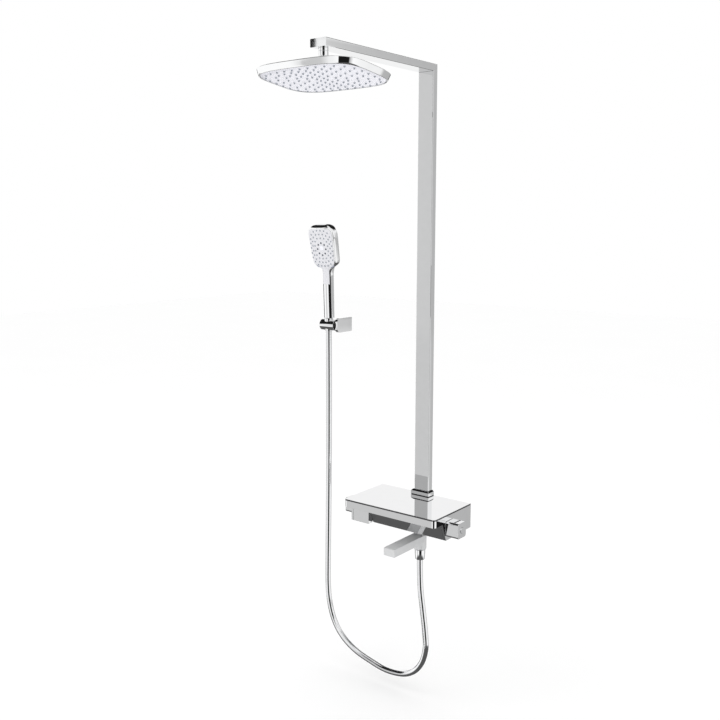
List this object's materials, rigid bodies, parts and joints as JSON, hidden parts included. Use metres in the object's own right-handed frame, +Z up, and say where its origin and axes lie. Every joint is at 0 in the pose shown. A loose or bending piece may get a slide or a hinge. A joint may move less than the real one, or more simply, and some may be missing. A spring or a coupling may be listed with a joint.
{
  "type": "rainfall shower column",
  "caption": "Wall-mounted rain shower column: mixer under a shelf, flat riser and arm, tilting rain head, swivel spout and hand shower on a hose.",
  "frame": {"origin": "on the wall plane at the back of the mixer's wall plate, behind the riser's centre line and at the height of the inlets", "axes": "+Z up, +Y into the wall (the room is towards -Y), +X to the right seen from the room"},
  "size_m": [0.4642, 0.4642, 1.4674],
  "materials": {
    "chrome": "polished",
    "chromed_plastic": "polished",
    "dark_chrome": "polished",
    "mirror_plate": "polished",
    "brass": "satin",
    "steel": "satin",
    "white_plastic": "gloss",
    "grey_plastic": "satin",
    "black_rubber": "matte",
    "hose_silver": "gloss"
  },
  "bodies": {
    "fixed_body": {"wall_plate": "steel", "inlet_union_left": "brass", "inlet_union_right": "brass", "inlet_nut_left": "chrome", "inlet_nut_right": "chrome", "valve_body": "brass", "body_cover": "dark_chrome", "shelf_housing": "chrome", "shelf_top_plate": "mirror_plate", "thermostatic_cartridge": "grey_plastic", "flow_cartridge": "grey_plastic", "diverter_spring": "steel", "diverter_cartridge": "grey_plastic", "outlet_stem": "brass", "outlet_collar": "chrome", "spout_oring_upper": "black_rubber", "spout_oring_lower": "black_rubber", "spout_retaining_ring": "steel", "hose_nut": "chrome", "riser_column": "chrome", "overhead_arm": "chrome", "riser_socket": "brass", "foot_gasket": "black_rubber", "foot_collar": "chromed_plastic", "riser_wall_clip": "steel", "riser_clip_screw": "steel", "arm_ball_nipple": "chrome", "holder_bracket": "chrome", "bracket_wall_stud": "steel", "holder_pivot_pin": "steel", "holder_friction_washer": "black_rubber", "shower_hose_lower": "hose_silver"},
    "head_pitch_link": {"ball_seat_inner": "white_plastic"},
    "head_roll_link": {"ball_seat_outer": "white_plastic"},
    "overhead_head": {"ball_nut": "chromed_plastic", "head_shell": "chromed_plastic", "head_face": "white_plastic", "head_nozzle_mat": "grey_plastic", "head_water_plate": "white_plastic"},
    "temperature_control": {"temperature_knob": "chromed_plastic", "temperature_spindle": "brass", "temperature_knob_screw": "steel", "safety_button_spring": "steel"},
    "safety_stop": {"safety_button": "chromed_plastic"},
    "flow_control": {"flow_knob": "chromed_plastic", "flow_spindle": "brass", "flow_knob_screw": "steel", "flow_knob_cap": "chromed_plastic"},
    "diverter": {"diverter_key": "chromed_plastic", "diverter_plunger": "steel"},
    "spout": {"spout_body": "chrome", "spout_aerator": "grey_plastic"},
    "tilting_holder": {"handset_holder": "chrome", "shower_hose_upper": "hose_silver"},
    "hand_shower": {"handset_body": "chromed_plastic", "handset_face": "white_plastic", "handset_nozzle_mat": "grey_plastic", "spray_button_spring": "steel", "hose_cone_nut": "chrome"},
    "spray_selector": {"spray_button": "white_plastic"}
  },
  "joints": [
    {"name": "head_pitch", "type": "hinge", "parent": "fixed_body", "child": "head_pitch_link", "pos_m": [0, -0.374, 0.985], "axis": [1, 0, 0], "range_deg": [-5, 15]},
    {"name": "head_roll", "type": "hinge", "parent": "head_pitch_link", "child": "head_roll_link", "pos_m": [0, -0.374, 0.985], "axis": [0, 1, 0], "range_deg": [-10, 10]},
    {"name": "head_spin", "type": "hinge", "parent": "head_roll_link", "child": "overhead_head", "pos_m": [0, -0.374, 0.985], "axis": [0, -0.1305, 0.9914], "range_deg": [-20, 20]},
    {"name": "temperature_turn", "type": "hinge", "parent": "fixed_body", "child": "temperature_control", "pos_m": [0.13, -0.095, 0.0035], "axis": [1, 0, 0], "range_deg": [-50, 140]},
    {"name": "safety_press", "type": "slide", "parent": "temperature_control", "child": "safety_stop", "axis": [-1, 0, 0], "range_m": [0, 0.0015], "stiffness_N_per_m": 400, "springref_m": -0.003},
    {"name": "flow_turn", "type": "hinge", "parent": "fixed_body", "child": "flow_control", "pos_m": [-0.13, -0.095, 0.0035], "axis": [-1, 0, 0], "range_deg": [-90, 90]},
    {"name": "diverter_press", "type": "slide", "parent": "fixed_body", "child": "diverter", "axis": [0, 1, 0], "range_m": [0, 0.004], "stiffness_N_per_m": 500, "springref_m": -0.008, "deforming": ["diverter_spring"]},
    {"name": "spout_swivel", "type": "hinge", "parent": "fixed_body", "child": "spout", "pos_m": [0.018, -0.05, -0.06], "axis": [0, 0, 1], "range_deg": [-60, 60], "deforming": ["shower_hose_lower"]},
    {"name": "holder_tilt", "type": "hinge", "parent": "fixed_body", "child": "tilting_holder", "pos_m": [-0.233, -0.05, 0.4315], "axis": [1, 0, 0], "range_deg": [-10, 20]},
    {"name": "handset_lift", "type": "slide", "parent": "tilting_holder", "child": "hand_shower", "axis": [0, 0, 1], "range_m": [0, 0.03], "deforming": ["shower_hose_upper"]},
    {"name": "spray_press", "type": "slide", "parent": "hand_shower", "child": "spray_selector", "axis": [0, 0.9781, 0.2079], "range_m": [0, 0.0015], "stiffness_N_per_m": 400, "springref_m": -0.003}
  ]
}
